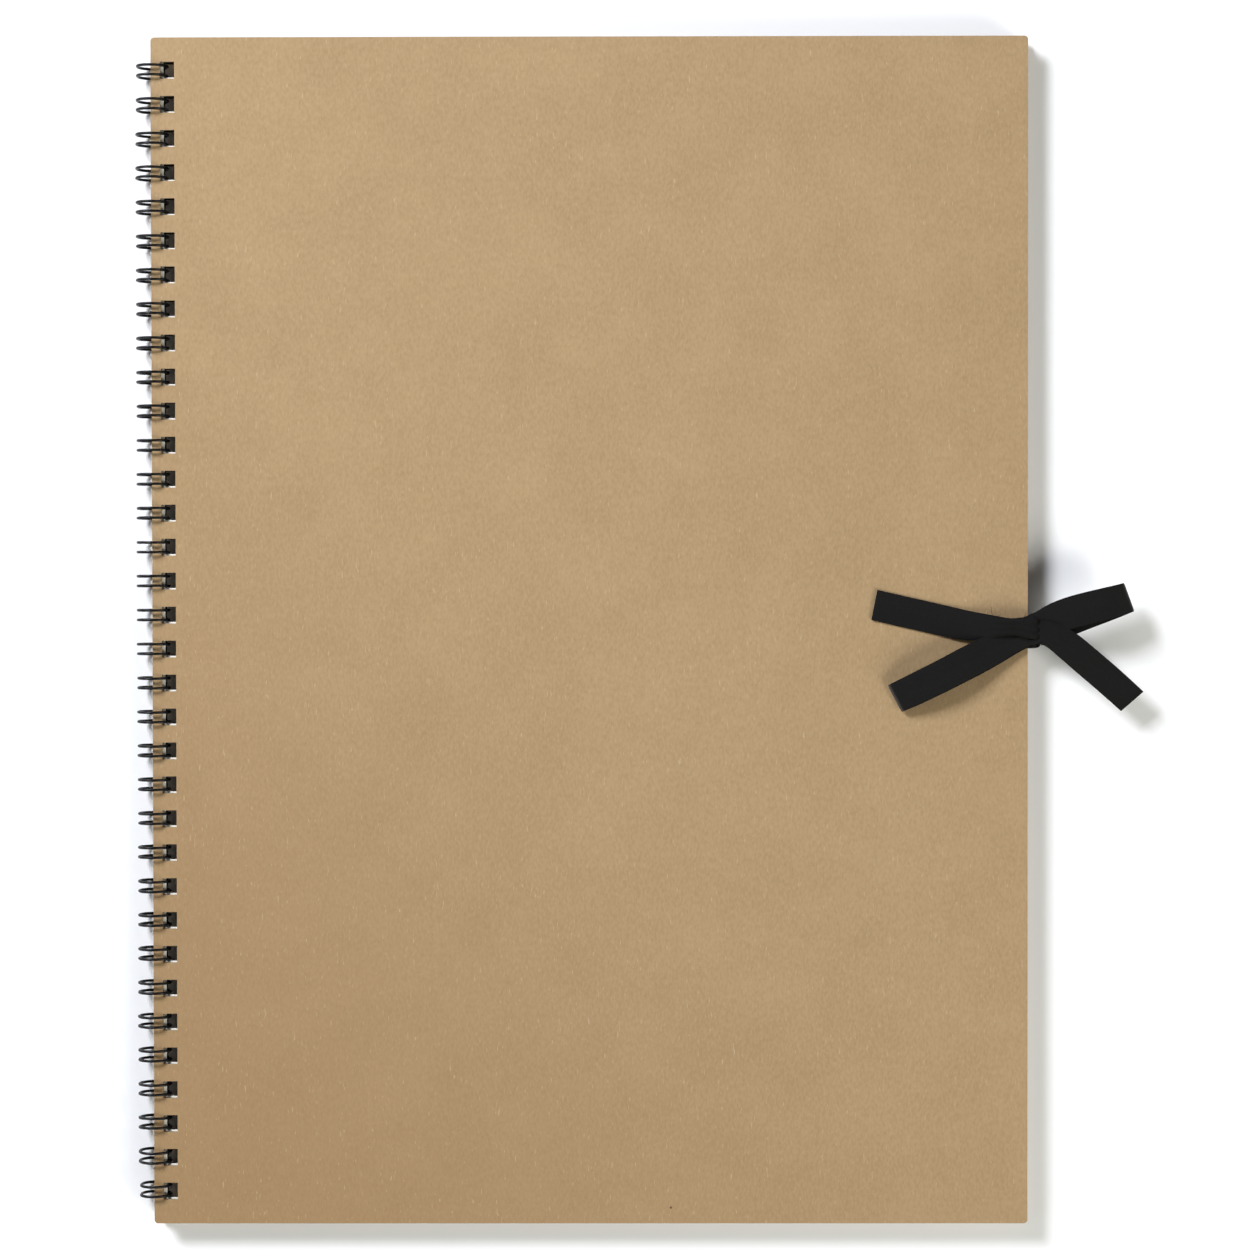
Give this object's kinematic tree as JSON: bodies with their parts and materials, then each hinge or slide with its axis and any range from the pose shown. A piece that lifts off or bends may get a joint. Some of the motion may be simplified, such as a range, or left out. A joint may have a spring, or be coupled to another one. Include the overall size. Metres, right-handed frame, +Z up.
{
  "type": "scrapbook album",
  "caption": "Kraft board scrapbook album, card pages on a twin-loop wire along the spine, closed at the fore-edge by a ribbon bow.",
  "frame": {"origin": "under the middle of the album, without the ribbons, at the level of the wire's lowest point", "axes": "+X from the spine to the fore-edge, +Y along the spine to the head, +Z up through the closed pages"},
  "size_m": [0.2507, 0.2956, 0.0106],
  "materials": {
    "kraft": "matte",
    "white_paper": "matte",
    "black_card": "matte",
    "patch_paper": "matte",
    "wire": "satin",
    "ribbon": "matte"
  },
  "bodies": {
    "album_back": {"back_cover": "kraft", "binding_wire": "wire", "ribbon_patch_back": "patch_paper", "ribbon_strap_back": "ribbon"},
    "page_12": {"page_12": "black_card"},
    "page_11": {"page_11": "black_card"},
    "page_10": {"page_10": "black_card"},
    "page_09": {"page_09": "black_card"},
    "page_08": {"page_08": "black_card"},
    "page_07": {"page_07": "black_card"},
    "page_06": {"page_06": "black_card"},
    "page_05": {"page_05": "black_card"},
    "page_04": {"page_04": "black_card"},
    "page_03": {"page_03": "black_card"},
    "page_02": {"page_02": "black_card"},
    "page_01": {"page_01": "black_card"},
    "flyleaf": {"flyleaf": "white_paper"},
    "album_front": {"front_cover": "kraft", "ribbon_patch_front": "patch_paper", "ribbon_strap_front": "ribbon", "ribbon_knot": "ribbon", "ribbon_loop_left": "ribbon", "ribbon_loop_right": "ribbon", "ribbon_tail_left": "ribbon", "ribbon_tail_right": "ribbon"}
  },
  "joints": [
    {"name": "page_12_turn", "type": "hinge", "parent": "album_back", "child": "page_12", "pos_m": [-0.10692, 0, 0.00425], "axis": [0, -1, 0], "range_deg": [0, 180]},
    {"name": "page_11_turn", "type": "hinge", "parent": "page_12", "child": "page_11", "pos_m": [-0.10692, 0, 0.00425], "axis": [0, -1, 0], "range_deg": [0, 180]},
    {"name": "page_10_turn", "type": "hinge", "parent": "page_11", "child": "page_10", "pos_m": [-0.10692, 0, 0.00425], "axis": [0, -1, 0], "range_deg": [0, 180]},
    {"name": "page_09_turn", "type": "hinge", "parent": "page_10", "child": "page_09", "pos_m": [-0.10692, 0, 0.00425], "axis": [0, -1, 0], "range_deg": [0, 180]},
    {"name": "page_08_turn", "type": "hinge", "parent": "page_09", "child": "page_08", "pos_m": [-0.10692, 0, 0.00425], "axis": [0, -1, 0], "range_deg": [0, 180]},
    {"name": "page_07_turn", "type": "hinge", "parent": "page_08", "child": "page_07", "pos_m": [-0.10692, 0, 0.00425], "axis": [0, -1, 0], "range_deg": [0, 180]},
    {"name": "page_06_turn", "type": "hinge", "parent": "page_07", "child": "page_06", "pos_m": [-0.10692, 0, 0.00425], "axis": [0, -1, 0], "range_deg": [0, 180]},
    {"name": "page_05_turn", "type": "hinge", "parent": "page_06", "child": "page_05", "pos_m": [-0.10692, 0, 0.00425], "axis": [0, -1, 0], "range_deg": [0, 180]},
    {"name": "page_04_turn", "type": "hinge", "parent": "page_05", "child": "page_04", "pos_m": [-0.10692, 0, 0.00425], "axis": [0, -1, 0], "range_deg": [0, 180]},
    {"name": "page_03_turn", "type": "hinge", "parent": "page_04", "child": "page_03", "pos_m": [-0.10692, 0, 0.00425], "axis": [0, -1, 0], "range_deg": [0, 180]},
    {"name": "page_02_turn", "type": "hinge", "parent": "page_03", "child": "page_02", "pos_m": [-0.10692, 0, 0.00425], "axis": [0, -1, 0], "range_deg": [0, 180]},
    {"name": "page_01_turn", "type": "hinge", "parent": "page_02", "child": "page_01", "pos_m": [-0.10692, 0, 0.00425], "axis": [0, -1, 0], "range_deg": [0, 180]},
    {"name": "flyleaf_turn", "type": "hinge", "parent": "page_01", "child": "flyleaf", "pos_m": [-0.10692, 0, 0.00425], "axis": [0, -1, 0], "range_deg": [0, 180]},
    {"name": "front_cover_turn", "type": "hinge", "parent": "flyleaf", "child": "album_front", "pos_m": [-0.10692, 0, 0.00425], "axis": [0, -1, 0], "range_deg": [0, 180]}
  ]
}
